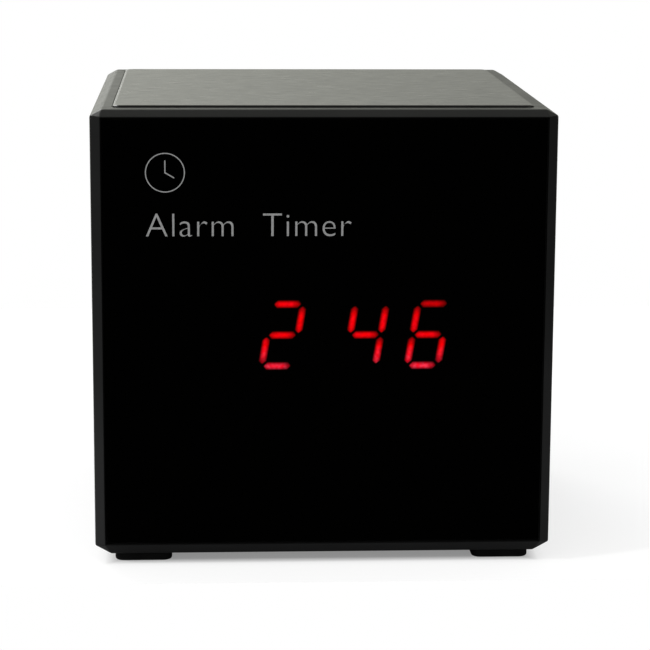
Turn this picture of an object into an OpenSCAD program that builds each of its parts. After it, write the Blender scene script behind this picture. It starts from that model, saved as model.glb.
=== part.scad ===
// Hidden camera clock radio: a bevelled cube with a smoked front panel, a red four-digit display
// and a camera behind it, a press-down snooze plate on top, and its controls at the back.
// Millimetres. The origin is on the table under the middle of the case, +Z up, front towards -Y.

/* [Case] */
// Width of the case
case_w = 80; // [76:1:100]
// Depth of the case, front to back
case_d = 80; // [76:1:100]
// Height of the case without its feet
case_h = 78.2; // [74:0.2:100]
// Wall thickness of the case
wall = 2.2; // [1.8:0.1:3]
// Width of the bevels along the top's sides
top_bevel = 2; // [1:0.1:2.6]
// How far those bevels reach down the sides
top_drop = 1.1; // [0.8:0.05:2]
// Width of the bevels along the bottom's sides
bottom_bevel = 2.8; // [1:0.1:3.2]
// How far those bevels reach up the sides
bottom_rise = 1.55; // [1:0.05:2.4]
// How far the front and rear bevels reach along the sides
end_bevel = 1.8; // [1:0.1:2.4]
// Inset of the front and rear faces at the left and right
face_inset_side = 1.8; // [1:0.1:2.2]
// Inset of the front and rear faces at the top
face_inset_top = 1.15; // [1:0.05:2]
// Inset of the front and rear faces at the bottom
face_inset_bottom = 2.05; // [1.5:0.05:2.4]
// Narrow land between a bevel and the panel set inside it
land = 0.25; // [0.2:0.05:0.6]

/* [Feet] */
// Side of a square foot
foot_w = 10; // [7:0.5:14]
// Height of a foot below the case
foot_h = 1.8; // [1:0.1:5]
// Distance from the bottom's bevels to a foot
foot_inset = 0.6; // [0.2:0.1:5]
// Corner radius of a foot
foot_r = 2.4; // [1:0.1:3.2]
// Rounding of a foot's lower edge
foot_edge = 0.6; // [0.2:0.1:0.9]
// Depth of the recess that holds a foot
foot_sink = 0.5; // [0.3:0.1:0.8]

/* [Front panel] */
// Thickness of the smoked panel
panel_t = 2; // [1.5:0.1:3]
// Clearance round the panel
panel_gap = 0.1; // [0.05:0.05:0.3]
// Chamfer on the panel's front edge
panel_chamfer = 0.1; // [0.1:0.05:0.4]
// Thickness of the tape behind the panel
tape_t = 0.2; // [0.1:0.05:0.5]
// Width of the tape
tape_w = 1.2; // [0.8:0.1:1.4]
// Width of the ledge that carries the panel
ledge_w = 1.5; // [1.5:0.1:2.5]
// Thickness of the ledge
ledge_t = 1.5; // [1:0.1:2.5]

/* [Snooze plate] */
// Distance from the case's sides to the plate
plate_margin_side = 3.8; // [3:0.1:8]
// Distance from the case's front and back to the plate
plate_margin_end = 4.9; // [3.6:0.1:8]
// Corner radius of the plate
plate_r = 1.2; // [0.6:0.1:4]
// Thickness of the plate
plate_t = 1.6; // [1.2:0.1:2]
// How far the plate stands above the deck
plate_proud = 0.35; // [0.2:0.05:1]
// Shadow gap round the plate
plate_gap = 0.15; // [0.1:0.05:0.6]
// Chamfer on the plate's upper edge
plate_chamfer = 0.15; // [0.05:0.05:0.5]
// Width of the shallower slope along the plate's left and right edges
plate_slope = 0.45; // [0.1:0.05:0.6]
// Depth of the skirt under the plate's edge
skirt_h = 1.8; // [1:0.1:1.8]
// Thickness of the skirt
skirt_t = 1.2; // [0.8:0.1:2]
// Depth of the pocket in the deck
pocket_depth = 4.2; // [4.2:0.1:6]
// Thickness of the deck under the pocket
deck_t = 1.8; // [1.4:0.1:3]
// How far the plate presses down
snooze_travel = 0.5; // [0.2:0.05:0.6]
// Distance of the guide pins from the plate's edges
pin_inset = 8; // [6:0.5:14]
// Diameter of a guide pin
pin_d = 2.2; // [1.8:0.1:3]
// Clearance round a guide pin
pin_gap = 0.3; // [0.2:0.05:0.5]
// Mean diameter of a return spring
spring_d = 4.4; // [4.2:0.1:6]
// Wire diameter of a return spring
spring_wire = 0.4; // [0.3:0.05:0.45]
// Turns of a return spring
spring_turns = 3; // [2:1:3]

/* [Display] */
// Digits shown, from left to right, with -1 for a blank one
shown = [-1, 2, 4, 6]; // [-1:1:9]
// Height of a digit between the middles of its top and bottom segments
digit_h = 10.9; // [8:0.1:14]
// Width of a digit between the middles of its upright segments
digit_w = 5.35; // [4:0.05:7]
// Width of a segment
seg_w = 1.35; // [0.7:0.05:1.5]
// Gap between neighbouring segments
seg_gap = 0.22; // [0.2:0.02:0.5]
// Slant of the digits in degrees
slant = 9.6; // [0:0.1:12]
// Distance between the two digits of a pair
digit_pitch = 10.9; // [9:0.1:12]
// Distance between the two middle digits
colon_pitch = 14.4; // [12:0.1:18]
// How far the display lies below the panel's middle
display_drop = 0.55; // [0:0.05:4]
// Depth of the display block
led_depth = 7; // [6.5:0.1:9]
// Face of the display block behind the panel
led_gap = 0.5; // [0.5:0.1:1.5]
// Thickness of the segment windows
seg_t = 0.3; // [0.2:0.05:0.4]

/* [Camera] */
// How far the lens lies below the display's middle
camera_drop = 17; // [16:0.5:19]
// Side of the lens holder
holder_w = 9; // [8:0.5:9]
// Diameter of the lens barrel
barrel_d = 6.4; // [5:0.1:6.8]
// Infrared lamps on each side of the lens
ir_count = 3; // [1:1:3]
// Distance between infrared lamps
ir_pitch = 6; // [5:0.5:7]
// Diameter of an infrared lamp
ir_d = 3; // [2:0.1:4]

/* [Boards] */
// Thickness of the circuit boards
pcb_t = 1.6; // [1:0.1:2]
// Width of the main board
main_w = 66; // [66:1:69]
// Room between the display board and the main board
main_room = 8; // [8:0.5:12]
// Height of the posts under the main board
post_h = 6.4; // [6.2:0.1:9]
// Diameter of the posts under the boards
post_d = 5.4; // [4.6:0.1:6.5]
// Bending radius of the display ribbon
ribbon_r = 2.5; // [1.5:0.1:2.5]
// Width of the display ribbon
ribbon_w = 12; // [8:0.5:16]
// Thickness of the display ribbon
ribbon_t = 0.3; // [0.2:0.05:0.5]
// Distance from the main board's sides to the battery
battery_side = 8; // [8:0.5:12]
// Depth of the main board in front of the battery
battery_front = 5; // [5:0.5:7]
// Depth of the main board behind the battery, for the chips and the controls
battery_rear = 19; // [19:0.5:24]
// Thickness of the battery pouch
battery_t = 8; // [5:0.5:10]
// Thickness of the tape under the battery
battery_tape_t = 0.5; // [0.3:0.1:1]

/* [Rear cover] */
// Thickness of the rear cover
cover_t = 2; // [1.6:0.1:3]
// How far the cover lies inside the case's rear rim
cover_sink = 0.6; // [0.4:0.1:1.2]
// Clearance round the cover
cover_gap = 0.1; // [0.1:0.05:0.3]
// Diameter of the screw bosses
boss_d = 6.2; // [5.6:0.1:6.4]
// Length of the rear screw bosses
boss_len = 14; // [11:1:20]
// Diameter of the screws' shanks
screw_d = 2.2; // [1.8:0.1:2.4]
// Diameter of the screws' heads
screw_head_d = 4.2; // [3.6:0.1:4.6]
// Length of the cover screws below the head
screw_len = 9; // [6:0.5:10]

/* [Speaker] */
// Outer diameter of the speaker
speaker_d = 28; // [24:0.5:34]
// Height of the speaker's middle above the panel's middle
speaker_rise = 8; // [4:0.5:12]
// Depth of the ring that locates the speaker
speaker_ring_h = 3; // [1.5:0.1:4]
// Width of a grille slot
slot_w = 1.6; // [1:0.1:2]
// Distance between grille slots
slot_pitch = 3; // [2.8:0.1:4]

/* [Rear controls] */
// Diameter of a set button
button_d = 5; // [4:0.1:5.2]
// Distance between set buttons
button_pitch = 7.5; // [7.2:0.1:8]
// Position of the middle button across the back
button_x = -22; // [-23:0.5:-20]
// How far a button presses in
button_travel = 0.3; // [0.15:0.05:0.4]
// Clearance round the buttons
button_gap = 0.3; // [0.2:0.05:0.5]
// Side of a button switch
tact_w = 6; // [5.6:0.1:6.6]
// Side of the reset switch
reset_w = 4.6; // [4:0.1:5]
// Position of the reset hole
reset_x = 2; // [1.5:0.5:2.5]
// Diameter of the reset pinhole
pinhole_d = 1.6; // [1.2:0.1:2]
// Position of the power switch
switch_x = -6.5; // [-7:0.5:-6]
// How far the power switch slides
switch_travel = 2; // [1.5:0.1:2.4]
// Position of the card slot
card_x = 13.5; // [13:0.5:14]
// Width of the card slot
card_w = 11.6; // [11.4:0.1:12]
// Height of the card slot
card_h = 1.2; // [1:0.1:1.4]
// Position of the power inlet
usb_x = 27; // [26:0.5:28]
// Width of the power inlet
usb_w = 7.6; // [7:0.1:8.4]
// Height of the power inlet
usb_h = 2.7; // [2.4:0.1:3.2]

/* [Hidden] */
$fn = 48;
eps = 0.02;

// Colours, as the photograph shows them where it does
charcoal = "#2b2c2e";
plate_grey = "#3a3a3a";
smoke = "#08080a";
rubber = "#121212";
board_green = "#1c3a2a";
steel = "#a9abae";
glow = "#ff1020";

// Case levels and faces
front_y = -case_d / 2;
rear_y = case_d / 2;
base_z = foot_h;
top_z = base_z + case_h;
inner_x = case_w / 2 - wall;
floor_z = base_z + wall;
pocket_z = top_z - pocket_depth;
ceil_z = pocket_z - deck_t;

// Opening for the front panel, and the same one for the rear cover
open_x = case_w / 2 - face_inset_side - land;
open_z = [base_z + face_inset_bottom + land, top_z - face_inset_top - land];
mid_z = (base_z + face_inset_bottom + top_z - face_inset_top) / 2;
panel_back = front_y + panel_t;
ledge_front = panel_back + tape_t;
ledge_back = ledge_front + ledge_t;
window_x = open_x - ledge_w;
window_z = [open_z[0] + ledge_w, min(open_z[1] - ledge_w, ceil_z)];

// Rear cover faces and screw places
cover_out = rear_y - cover_sink;
cover_in = cover_out - cover_t;
boss_bite = 0.3;
boss_x = inner_x - boss_d / 2 + boss_bite;
boss_z = [floor_z + boss_d / 2 - boss_bite, ceil_z - boss_d / 2 + boss_bite];
screw_play = 0.1;
screw_head_h = 1.4;
counterbore = 1;
pilot_d = screw_d + 2 * screw_play;

// Snooze plate levels and places
plate_w = case_w - 2 * plate_margin_side;
plate_d = case_d - 2 * plate_margin_end;
plate_top = top_z + plate_proud;
plate_under = plate_top - plate_t;
pin_x = plate_w / 2 - pin_inset;
pin_y = plate_d / 2 - pin_inset;
pin_head_d = pin_d + 1.2;
pin_head_h = 0.8;
pin_tip_h = 1.4;
pin_slit = 0.6;
pin_play = 0.1;
rib_t = 1;
rib_h = 1.2;
snooze_d = 3.4;
snooze_hole_d = snooze_d + 2;
snooze_tip = pocket_z + snooze_travel + 0.15;

// Small press switches: body, plunger and the plunger's bore
plunger_gap = 0.2;
plunger_out = 1.2;
tact_t = 3.6;
bore_depth = 1.6;
plunger_d = 3.4;
reset_plunger_d = 2;

// Snooze switch board, hung under the deck
snooze_board_w = 26;
snooze_board_d = 14;
snooze_post_x = 9.5;
snooze_post_h = tact_t + 0.6;
snooze_board_top = ceil_z - snooze_post_h;

// Display block and board
disp_z = mid_z - display_drop;
digit_x = [-colon_pitch / 2 - digit_pitch, -colon_pitch / 2, colon_pitch / 2,
    colon_pitch / 2 + digit_pitch];
led_margin_x = 4;
led_margin_z = 3.6;
led_w = 2 * digit_x[3] + digit_w + seg_w + digit_h * tan(slant) + led_margin_x;
led_h = digit_h + seg_w + 2 * led_margin_z;
led_face = panel_back + led_gap;
disp_front = led_face + led_depth;
disp_back = disp_front + pcb_t;
board_screw_d = 2;
board_screw_head_d = 3.6;
board_screw_head_h = 1.2;
board_screw_len = 4;
board_pilot_d = board_screw_d + 2 * screw_play;
disp_edge_gap = 1.2;

// Main board, on posts above the floor
main_z = floor_z + post_h;
main_top = main_z + pcb_t;
main_edge_gap = 0.3;
main_rear = cover_in - main_edge_gap;
main_front = disp_back + main_room;
main_post_inset = 4.2;
main_post_rear = 22;
main_post_x = main_w / 2 - main_post_inset;
main_post_y = [main_front + main_post_inset, main_rear - main_post_rear];
battery_l = main_w - 2 * battery_side;
battery_w = main_rear - main_front - battery_front - battery_rear;
battery_y = main_front + battery_front + battery_w / 2;

// Display board reaches from just above the main board to above the display
disp_board_rise = 12;
disp_board_z = [main_top + 1, disp_z + led_h / 2 + disp_board_rise];
disp_board_x = inner_x - disp_edge_gap;
disp_screw_z = [disp_board_z[0] + 5, disp_board_z[1] - 5];

// Camera stack, from the display board to just behind the panel
camera_z = disp_z - camera_drop;
camera_board_t = 1;
holder_base_h = 2.2;
holder_h = 4;
barrel_gap = 0.1;
lens_behind = 0.4;
barrel_front = panel_back + lens_behind;
lens_d = barrel_d - 2.4;
lens_h = 0.8;
ir_first = 10;
ir_h = led_depth - 1.5;

// Rear control levels
button_play = 0.15;
flange_t = 0.8;
flange_d = button_d + 1.4;
cap_back = cover_in - button_play - flange_t;
tact_face = cap_back - plunger_out;
button_z = main_top + tact_w / 2;
reset_z = main_top + reset_w / 2 + 0.6;
reset_tip = cover_in - 0.4;
reset_face = reset_tip - plunger_out;
switch_w = 9;
switch_h = 4.6;
switch_d = 4.4;
switch_wall = 0.9;
switch_play = 0.2;
switch_z = main_top + switch_h / 2;
knob_w = 2;
knob_h = 2;
groove_w = 0.25;
groove_pitch = 0.55;
slider_w = knob_w + 2;
slider_h = switch_h - 2 * switch_wall - 2 * switch_play;
card_d = 15;
card_wall = 0.4;
card_z = main_top + card_wall + card_h / 2;
usb_d = 5.6;
usb_wall = 0.3;
usb_z = main_top + usb_h / 2;
usb_chamfer = 0.8;
port_gap = 0.3;

// Speaker
speaker_z = mid_z + speaker_rise;
speaker_gap = 0.15;
speaker_ring_t = 1.4;
flange_h = 1.2;
basket_h = 6;
magnet_h = 4;

// Box between pairs of limits along each axis
module span(x, y, z) {
    translate([x[0], y[0], z[0]]) cube([x[1] - x[0], y[1] - y[0], z[1] - z[0]]);
}

// Box that is even about the middle of the case
module wide(hx, y, z) {
    span([-hx, hx], y, z);
}

// Rectangle with round corners
module rounded(w, d, r) {
    square([w - 2 * r, d], center = true);
    square([w, d - 2 * r], center = true);
    for (x = [-1, 1], y = [-1, 1])
        translate([x * (w / 2 - r), y * (d / 2 - r)]) circle(r);
}

// Four places even about the middle
module at_corners(x, y) {
    for (i = [-1, 1], j = [-1, 1]) translate([i * x, j * y, 0]) children();
}

// Turns a shape that stands on +Z so that it points to the back, or to the front
module to_rear(x, y, z) {
    translate([x, y, z]) rotate([-90, 0, 0]) children();
}
module to_front(x, y, z) {
    translate([x, y, z]) rotate([90, 0, 0]) children();
}

// Outer form of the case: boxes whose hull leaves bevelled edges and a facet at each corner
module bevelled_case() {
    side_x = case_w / 2;
    end_y = case_d / 2 - end_bevel;
    hull() {
        wide(side_x - face_inset_side, [front_y, rear_y],
            [base_z + face_inset_bottom, top_z - face_inset_top]);
        wide(side_x, [-end_y, end_y], [base_z + bottom_rise, top_z - top_drop]);
        wide(side_x - top_bevel, [-end_y, end_y], [mid_z, top_z]);
        wide(side_x - bottom_bevel, [-end_y, end_y], [base_z, mid_z]);
    }
}

// Pan-head screw, its head's seat at the origin and its shank down -Z
module screw(d, len, head_d, head_h) {
    driver_w = head_d * 0.55;
    driver_t = head_d * 0.16;
    translate([0, 0, -len]) cylinder(d = d, h = len + eps, $fn = 24);
    difference() {
        cylinder(d = head_d, h = head_h, $fn = 24);
        for (a = [0, 90]) rotate(a)
            translate([-driver_w / 2, -driver_t / 2, head_h / 2]) cube([driver_w, driver_t, head_h]);
    }
}

// Screw through a board
module board_screw() {
    screw(board_screw_d, board_screw_len + pcb_t - 1, board_screw_head_d, board_screw_head_h);
}

// Body of a press switch, its plunger's bore opening up at the top
module press_switch(w, bore_d) {
    difference() {
        translate([-w / 2, -w / 2, 0]) cube([w, w, tact_t]);
        translate([0, 0, tact_t - bore_depth]) cylinder(d = bore_d, h = bore_depth + 1);
    }
}

// Plunger of a press switch, with room under it for its travel
module plunger(d, out, travel) {
    room = travel + 0.1;
    translate([0, 0, tact_t - bore_depth + room]) cylinder(d = d, h = bore_depth - room + out);
}

// Five-sided room: the sleeve with its ledge, deck, bosses, posts, vents and foot recesses
module housing() {
    color(charcoal) difference() {
        union() {
            difference() {
                bevelled_case();
                wide(open_x, [front_y - 1, ledge_front], open_z);
                wide(window_x, [front_y, ledge_back + eps], window_z);
                wide(inner_x, [ledge_back, rear_y + 1], [floor_z, ceil_z]);
                wide(open_x, [cover_in, rear_y + 1], open_z);
                translate([0, 0, pocket_z]) linear_extrude(pocket_depth + 1)
                    rounded(plate_w + 2 * plate_gap, plate_d + 2 * plate_gap, plate_r + plate_gap);
            }
            cover_bosses();
            display_bosses();
            board_posts();
            snooze_posts();
        }
        for (x = [-1, 1], z = boss_z)
            to_front(x * boss_x, cover_in + eps, z) cylinder(d = pilot_d, h = screw_len + 1);
        for (x = [-1, 1], z = disp_screw_z)
            to_front(x * boss_x, disp_front + eps, z) cylinder(d = board_pilot_d, h = board_screw_len);
        for (x = [-1, 1], y = main_post_y)
            translate([x * main_post_x, y, main_z - board_screw_len])
                cylinder(d = board_pilot_d, h = board_screw_len + 1);
        for (x = [-1, 1])
            translate([x * snooze_post_x, 0, snooze_board_top - 1])
                cylinder(d = board_pilot_d, h = snooze_post_h);
        translate([0, 0, ceil_z - 1]) {
            at_corners(pin_x, pin_y) cylinder(d = pin_d + 2 * pin_gap, h = deck_t + 2);
            cylinder(d = snooze_hole_d, h = deck_t + 2);
        }
        foot_recesses();
        floor_vents();
    }
}

// Screw bosses for the rear cover, run into the walls
module cover_bosses() {
    for (x = [-1, 1], z = boss_z)
        to_front(x * boss_x, cover_in, z) cylinder(d = boss_d, h = boss_len);
}

// Screw bosses for the display board, run into the side walls and the ledge
module display_bosses() {
    for (x = [-1, 1], z = disp_screw_z)
        to_front(x * boss_x, disp_front, z) cylinder(d = boss_d, h = disp_front - ledge_back + ledge_t / 2);
}

// Posts that carry the main board
module board_posts() {
    for (x = [-1, 1], y = main_post_y)
        translate([x * main_post_x, y, floor_z - boss_bite]) cylinder(d = post_d, h = post_h + boss_bite);
}

// Posts that carry the snooze switch board under the deck
module snooze_posts() {
    for (x = [-1, 1])
        translate([x * snooze_post_x, 0, snooze_board_top])
            cylinder(d = post_d, h = snooze_post_h + boss_bite);
}

// Recesses that hold the feet
foot_gap = 0.1;
foot_x = case_w / 2 - bottom_bevel - foot_inset - foot_w / 2;
foot_y = case_d / 2 - bottom_bevel - foot_inset - foot_w / 2;
module foot_recesses() {
    at_corners(foot_x, foot_y) translate([0, 0, base_z - 1]) linear_extrude(foot_sink + 1)
        rounded(foot_w + 2 * foot_gap, foot_w + 2 * foot_gap, foot_r + foot_gap);
}

// Row of vent slots through the floor
vent_count = 6;
vent_w = 2;
vent_len = 26;
vent_pitch = 5;
module floor_vents() {
    for (i = [0 : vent_count - 1])
        translate([(i - (vent_count - 1) / 2) * vent_pitch, 0, base_z - 1])
            linear_extrude(wall + 2) rounded(vent_w, vent_len, vent_w / 2 - eps);
}

// Smoked plate in the front rim, its front edge broken by a small chamfer
module front_panel() {
    hx = open_x - panel_gap;
    hz = [open_z[0] + panel_gap, open_z[1] - panel_gap];
    c = panel_chamfer;
    color(smoke) hull() {
        wide(hx, [front_y + c, panel_back], hz);
        wide(hx - c, [front_y, panel_back], [hz[0] + c, hz[1] - c]);
    }
}

// Frame of double-sided tape between panel and ledge
module panel_tape() {
    hx = open_x - panel_gap;
    hz = [open_z[0] + panel_gap, open_z[1] - panel_gap];
    color("#e8e4d8") difference() {
        wide(hx, [panel_back, ledge_front], hz);
        wide(hx - tape_w, [panel_back - 1, ledge_front + 1], [hz[0] + tape_w, hz[1] - tape_w]);
    }
}

// Rear plate with grille, speaker ring, screw holes and openings for every control
module rear_cover() {
    through = cover_sink + cover_t + 1;
    color(charcoal) difference() {
        union() {
            wide(open_x - cover_gap, [cover_in, cover_out], [open_z[0] + cover_gap, open_z[1] - cover_gap]);
            to_front(0, cover_in + eps, speaker_z) difference() {
                cylinder(d = speaker_d + 2 * (speaker_gap + speaker_ring_t), h = speaker_ring_h);
                translate([0, 0, eps]) cylinder(d = speaker_d + 2 * speaker_gap, h = speaker_ring_h + 1);
            }
        }
        grille_slots();
        for (x = [-1, 1], z = boss_z) {
            to_front(x * boss_x, rear_y, z) cylinder(d = pilot_d + 0.2, h = through);
            to_front(x * boss_x, rear_y, z) cylinder(d = screw_head_d + 0.4, h = cover_sink + counterbore);
        }
        for (i = [-1, 0, 1])
            to_front(button_at(i), rear_y, button_z) cylinder(d = button_d + 2 * button_gap, h = through);
        to_front(reset_x, rear_y, reset_z) cylinder(d = pinhole_d, h = through);
        port(switch_x, switch_z, knob_w + switch_travel + 2 * port_gap, knob_h + 2 * port_gap);
        port(usb_x, usb_z, usb_w + 2 * port_gap, usb_h + 2 * port_gap);
        port(card_x, card_z, card_w, card_h + 2 * port_gap);
        card_dish();
    }
}

// Rectangular opening through the rear cover
module port(x, z, w, h) {
    span([x - w / 2, x + w / 2], [cover_in - 1, rear_y], [z - h / 2, z + h / 2]);
}

// Shallow dish round the card slot, so that a fingertip can push the card home
dish_depth = 0.8;
dish_rim = 2;
module card_dish() {
    to_front(card_x, rear_y, card_z) linear_extrude(cover_sink + dish_depth)
        rounded(card_w + 2 * dish_rim, card_h + 2 * dish_rim, dish_rim);
}

// Upright slots that fill a circle in front of the speaker
module grille_slots() {
    r = speaker_d / 2 - 2;
    n = floor((r - slot_w) / slot_pitch);
    for (i = [-n : n]) {
        len = 2 * sqrt(r * r - pow(i * slot_pitch, 2));
        to_front(i * slot_pitch, rear_y, speaker_z) linear_extrude(cover_sink + cover_t + 1)
            rounded(slot_w, len, slot_w / 2 - eps);
    }
}

module cover_screws() {
    color(steel) for (x = [-1, 1], z = boss_z)
        to_rear(x * boss_x, cover_out - counterbore, z) screw(screw_d, screw_len, screw_head_d, screw_head_h);
}

// Four rubber pads with a rounded lower edge
module feet() {
    color(rubber) at_corners(foot_x, foot_y) hull() {
        translate([0, 0, foot_edge]) linear_extrude(foot_h + foot_sink - foot_edge)
            rounded(foot_w, foot_w, foot_r, $fn = 32);
        translate([0, 0, foot_edge * 0.3]) linear_extrude(foot_edge)
            rounded(foot_w - 0.6 * foot_edge, foot_w - 0.6 * foot_edge, foot_r - 0.3 * foot_edge, $fn = 32);
        linear_extrude(foot_edge)
            rounded(foot_w - 2 * foot_edge, foot_w - 2 * foot_edge, foot_r - foot_edge, $fn = 32);
    }
}

// Press plate: chamfered top, skirt, ribs, four split guide pins and a stub over the switch
module snooze_plate() {
    c = plate_chamfer;
    color(plate_grey) {
        hull() {
            translate([0, 0, plate_under]) linear_extrude(plate_t - c)
                rounded(plate_w, plate_d, plate_r, $fn = 32);
            translate([0, 0, plate_under]) linear_extrude(plate_t)
                rounded(plate_w - 2 * plate_slope, plate_d - 2 * c, plate_r - c / 2, $fn = 32);
        }
        translate([0, 0, plate_under - skirt_h]) linear_extrude(skirt_h + eps) difference() {
            rounded(plate_w, plate_d, plate_r);
            rounded(plate_w - 2 * skirt_t, plate_d - 2 * skirt_t, plate_r / 2);
        }
        translate([0, 0, plate_under - rib_h]) linear_extrude(rib_h + eps) {
            square([plate_w - skirt_t, rib_t], center = true);
            square([rib_t, plate_d - skirt_t], center = true);
        }
        translate([0, 0, snooze_tip]) cylinder(d = snooze_d + 1.2, h = plate_under - snooze_tip + eps);
        at_corners(pin_x, pin_y) guide_pin();
    }
}

// Guide pin that snaps through the deck: its split head holds the plate against the springs
module guide_pin() {
    head_top = ceil_z - pin_play;
    head_low = head_top - pin_head_h;
    difference() {
        union() {
            translate([0, 0, head_low]) cylinder(d = pin_d, h = plate_under - head_low + eps);
            translate([0, 0, head_low]) cylinder(d = pin_head_d, h = pin_head_h);
            translate([0, 0, head_low - pin_tip_h])
                cylinder(d1 = pin_d * 0.6, d2 = pin_head_d, h = pin_tip_h + eps);
        }
        translate([-pin_slit / 2, -pin_head_d, head_low - pin_tip_h - 1])
            cube([pin_slit, 2 * pin_head_d, pin_head_h + pin_tip_h + deck_t / 2 + 1]);
    }
}

// Tube swept along a helix: rings of points round the wire's path, closed by a cap at each end
spring_rings = 8;
spring_sides = 6;
module coil(mean_d, wire, turns, height) {
    rings = turns * spring_rings;
    rise = height - wire;
    function place(i) = let (a = 360 * i / spring_rings)
        [mean_d / 2 * cos(a), mean_d / 2 * sin(a), wire / 2 + rise * i / rings];
    function ring(i) = let (a = 360 * i / spring_rings)
        [for (k = [0 : spring_sides - 1]) let (b = 360 * k / spring_sides)
            place(i) + wire / 2 * (cos(b) * [cos(a), sin(a), 0] + sin(b) * [0, 0, 1])];
    points = [for (i = [0 : rings]) each ring(i)];
    function at(i, k) = i * spring_sides + k % spring_sides;
    walls = [for (i = [0 : rings - 1], k = [0 : spring_sides - 1])
        each [[at(i, k), at(i, k + 1), at(i + 1, k)], [at(i, k + 1), at(i + 1, k + 1), at(i + 1, k)]]];
    first = [for (k = [1 : spring_sides - 2]) [at(0, 0), at(0, k + 1), at(0, k)]];
    last = [for (k = [1 : spring_sides - 2]) [at(rings, 0), at(rings, k), at(rings, k + 1)]];
    polyhedron(points, concat(walls, first, last));
}

module snooze_springs() {
    color(steel) at_corners(pin_x, pin_y) translate([0, 0, pocket_z])
        coil(spring_d, spring_wire, spring_turns, plate_under - pocket_z);
}

// Snooze switch: board under the deck, switch on it and the plunger that meets the plate
module snooze_board() {
    color(board_green) translate([0, 0, snooze_board_top - pcb_t]) linear_extrude(pcb_t) difference() {
        square([snooze_board_w, snooze_board_d], center = true);
        for (x = [-1, 1]) translate([x * snooze_post_x, 0]) circle(d = board_pilot_d + 0.2);
    }
}
module snooze_switch() {
    color("#1a1a1a") translate([0, 0, snooze_board_top]) press_switch(tact_w, snooze_d + 2 * plunger_gap);
}
module snooze_plunger() {
    out = snooze_tip - snooze_board_top - tact_t;
    color("#202020") translate([0, 0, snooze_board_top]) plunger(snooze_d, out, snooze_travel);
}
module snooze_board_screws() {
    color(steel) for (x = [-1, 1]) translate([x * snooze_post_x, 0, snooze_board_top - pcb_t])
        mirror([0, 0, 1]) board_screw();
}

// Display block with the segment windows on its face
module led_display() {
    color("#101010") wide(led_w / 2, [led_face, disp_front], [disp_z - led_h / 2, disp_z + led_h / 2]);
}

// Segments a to g that each digit lights
function lights(n) = n < 0 ? [] : ["abcdef", "bc", "abdeg", "abcdg", "bcfg", "acdfg", "acdefg", "abc",
    "abcdefg", "abcdfg"][n];
function is_lit(s, n) = len(search(s, lights(n))) > 0;

// One bar with pointed ends, lying along X about the origin
module bar(length) {
    h = seg_w / 2;
    e = length / 2 - seg_gap;
    polygon([[-e, 0], [h - e, h], [e - h, h], [e, 0], [e - h, -h], [h - e, -h]]);
}

// One named segment of an upright digit
module segment(s) {
    hw = digit_w / 2;
    hh = digit_h / 2;
    if (s == "a") translate([0, hh]) bar(digit_w);
    if (s == "d") translate([0, -hh]) bar(digit_w);
    if (s == "g") bar(digit_w);
    if (s == "b") translate([hw, hh / 2]) rotate(90) bar(hh);
    if (s == "c") translate([hw, -hh / 2]) rotate(90) bar(hh);
    if (s == "e") translate([-hw, -hh / 2]) rotate(90) bar(hh);
    if (s == "f") translate([-hw, hh / 2]) rotate(90) bar(hh);
}

// Windows of all digits that are lit, or of all that are not
module segment_windows(lit) {
    lean = [[1, tan(slant), 0, 0], [0, 1, 0, 0], [0, 0, 1, 0], [0, 0, 0, 1]];
    for (i = [0 : 3], s = ["a", "b", "c", "d", "e", "f", "g"])
        if (is_lit(s, shown[i]) == lit)
            to_front(digit_x[i], led_face, disp_z) linear_extrude(seg_t) multmatrix(lean) segment(s);
}
module lit_segments() {
    color(glow) segment_windows(true);
}
module dark_segments() {
    color("#3a2024") {
        segment_windows(false);
        for (z = [-digit_h / 5, digit_h / 5])
            to_front(z * tan(slant), led_face, disp_z + z) cylinder(d = seg_w, h = seg_t, $fn = 24);
    }
}

module display_board() {
    color(board_green) difference() {
        wide(disp_board_x, [disp_front, disp_back], disp_board_z);
        for (x = [-1, 1], z = disp_screw_z)
            to_rear(x * boss_x, disp_front - 1, z) cylinder(d = board_pilot_d + 0.2, h = pcb_t + 2);
    }
}
module display_screws() {
    color(steel) for (x = [-1, 1], z = disp_screw_z) to_rear(x * boss_x, disp_back, z) board_screw();
}

// Camera: sensor board, square holder with a round neck, lens barrel and front lens
module camera_board() {
    h = holder_w / 2 + 0.5;
    color("#15324a") wide(h, [disp_front - camera_board_t, disp_front], [camera_z - h, camera_z + h]);
}
module camera_holder() {
    color("#161616") to_front(0, disp_front - camera_board_t, camera_z) difference() {
        union() {
            linear_extrude(holder_base_h) rounded(holder_w, holder_w, 1);
            cylinder(d = barrel_d + 1.8, h = holder_h);
        }
        translate([0, 0, 0.6]) cylinder(d = barrel_d + 2 * barrel_gap, h = holder_h);
    }
}
module camera_barrel() {
    foot = 1;
    length = disp_front - camera_board_t - foot - barrel_front;
    color("#0c0c0c") to_front(0, disp_front - camera_board_t - foot, camera_z) difference() {
        cylinder(d = barrel_d, h = length);
        translate([0, 0, length - lens_h]) cylinder(d = lens_d + 2 * barrel_gap, h = lens_h + 1);
    }
}
module camera_lens() {
    r = lens_d / 2;
    color("#26304a") to_front(0, barrel_front + lens_h, camera_z)
        rotate_extrude() polygon([[0, 0], [r, 0], [r, lens_h / 2], [r * 0.7, lens_h * 0.8], [0, lens_h]]);
}

// Domed infrared lamps on both sides of the lens
module ir_leds() {
    r = ir_d / 2;
    color("#2a1c30") for (side = [-1, 1], i = [0 : ir_count - 1])
        to_front(side * (ir_first + i * ir_pitch), disp_front, camera_z) rotate_extrude($fn = 24)
            polygon([[0, 0], [r + 0.4, 0], [r + 0.4, 0.8], [r, 0.8], [r, ir_h - r],
                for (a = [15 : 15 : 75]) [r * cos(a), ir_h - r + r * sin(a)], [0, ir_h]]);
}

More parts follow.
